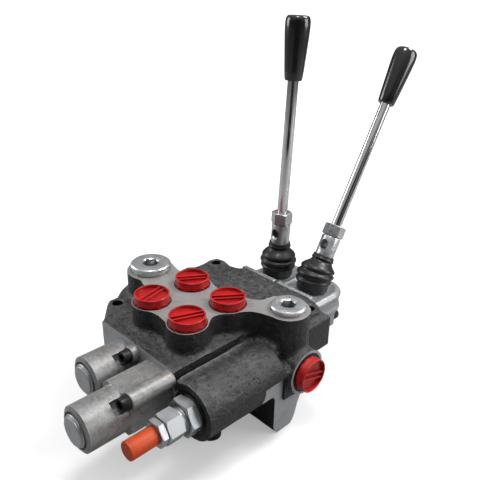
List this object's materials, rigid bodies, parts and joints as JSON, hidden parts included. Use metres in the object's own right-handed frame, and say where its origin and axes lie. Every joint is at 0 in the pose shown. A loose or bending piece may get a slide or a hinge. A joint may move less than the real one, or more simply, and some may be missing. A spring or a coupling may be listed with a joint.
{
  "type": "hydraulic monoblock directional valve",
  "caption": "Hand-lever hydraulic monoblock valve: cast body with plugged ports, spools in capped bores, rubber-booted levers and an adjustable relief valve.",
  "frame": {"origin": "middle of the four work ports, on the machined port face", "axes": "+Z out of the port face, +Y along the spools towards the hand levers, +X towards the side inlet and the relief valve"},
  "size_m": [0.1724, 0.3431, 0.2824],
  "materials": {
    "black_plastic": "glossy",
    "black_rubber": "satin",
    "black_steel": "black oxide",
    "cast_iron": "rough casting with machined faces",
    "chrome": "polished",
    "die_cast": "die cast, slightly oily",
    "orange_plastic": "moulded",
    "red_plastic": "moulded, slightly glossy",
    "seal_rubber": "satin",
    "spring_steel": "drawn wire",
    "steel": "ground",
    "zinc": "bright zinc plate"
  },
  "bodies": {
    "housing": {"valve_body": "cast_iron", "port_plug_a1": "red_plastic", "port_plug_b1": "red_plastic", "port_plug_a2": "red_plastic", "port_plug_b2": "red_plastic", "side_inlet_plug": "red_plastic", "side_outlet_plug": "red_plastic", "outlet_socket_plug": "zinc", "outlet_sealing_washer": "steel", "inlet_socket_plug": "zinc", "inlet_sealing_washer": "steel", "spool_seal_left": "seal_rubber", "spool_seal_right": "seal_rubber", "cap_left": "die_cast", "cap_disc_left": "die_cast", "cap_retaining_ring_left": "spring_steel", "cap_screw_upper_left": "black_steel", "cap_screw_lower_left": "black_steel", "cap_right": "die_cast", "cap_disc_right": "die_cast", "cap_retaining_ring_right": "spring_steel", "cap_screw_upper_right": "black_steel", "cap_screw_lower_right": "black_steel", "detent_sleeve": "steel", "relief_cartridge": "zinc", "relief_sealing_washer": "black_steel", "relief_spring": "spring_steel", "relief_adjuster": "steel", "relief_lock_nut": "zinc", "relief_cap": "orange_plastic", "check_plug": "steel", "lever_box_left": "die_cast", "lever_box_right": "die_cast", "lever_boot_left": "black_rubber", "lever_boot_right": "black_rubber", "box_screw_lower_left": "black_steel", "box_screw_upper_left": "black_steel", "box_screw_lower_right": "black_steel", "box_screw_upper_right": "black_steel", "spring_seat_fixed_left": "steel", "spring_seat_fixed_right": "steel", "centring_spring_left": "spring_steel", "centring_spring_right": "spring_steel"},
    "lever_left": {"lever_ball_left": "zinc", "lever_lock_nut_left": "zinc", "lever_rod_left": "chrome", "lever_grip_left": "black_plastic"},
    "lever_right": {"lever_ball_right": "zinc", "lever_lock_nut_right": "zinc", "lever_rod_right": "chrome", "lever_grip_right": "black_plastic"},
    "spool_left": {"spool_left": "chrome", "spring_seat_moving_left": "steel", "spool_bolt_left": "steel"},
    "spool_right": {"spool_right": "chrome", "spring_seat_moving_right": "steel", "detent_rod": "steel", "detent_ball": "chrome"},
    "relief_poppet": {"relief_poppet": "steel"},
    "check_poppet": {"check_poppet": "steel"}
  },
  "joints": [
    {"name": "lever_left_tilt", "type": "hinge", "parent": "housing", "child": "lever_left", "pos_m": [-0.02, 0.1191, -0.0218], "axis": [1, 0, 0], "range_deg": [-20, 24], "stiffness_Nm_per_rad": 6, "deforming": ["lever_boot_left"]},
    {"name": "lever_right_tilt", "type": "hinge", "parent": "housing", "child": "lever_right", "pos_m": [0.02, 0.1191, -0.0218], "axis": [1, 0, 0], "range_deg": [0, 52], "deforming": ["lever_boot_right"]},
    {"name": "spool_left_slide", "type": "slide", "parent": "housing", "child": "spool_left", "axis": [0, 1, 0], "range_m": [-0.0061, 0.0073], "deforming": ["centring_spring_left"]},
    {"name": "spool_right_slide", "type": "slide", "parent": "housing", "child": "spool_right", "axis": [0, 1, 0], "range_m": [0, 0.0153], "deforming": ["centring_spring_right"]},
    {"name": "relief_poppet_lift", "type": "slide", "parent": "housing", "child": "relief_poppet", "axis": [0, -1, 0], "range_m": [0, 0.003], "stiffness_N_per_m": 1500, "springref_m": -0.004, "deforming": ["relief_spring"]},
    {"name": "check_poppet_lift", "type": "slide", "parent": "housing", "child": "check_poppet", "axis": [0, 0, -1], "range_m": [0, 0.003], "stiffness_N_per_m": 400, "springref_m": -0.004}
  ],
  "couplings": [
    {"joint": "spool_left_slide", "follows": "lever_left_tilt", "m_per_rad": 0.0169},
    {"joint": "spool_right_slide", "follows": "lever_right_tilt", "m_per_rad": 0.0166}
  ]
}
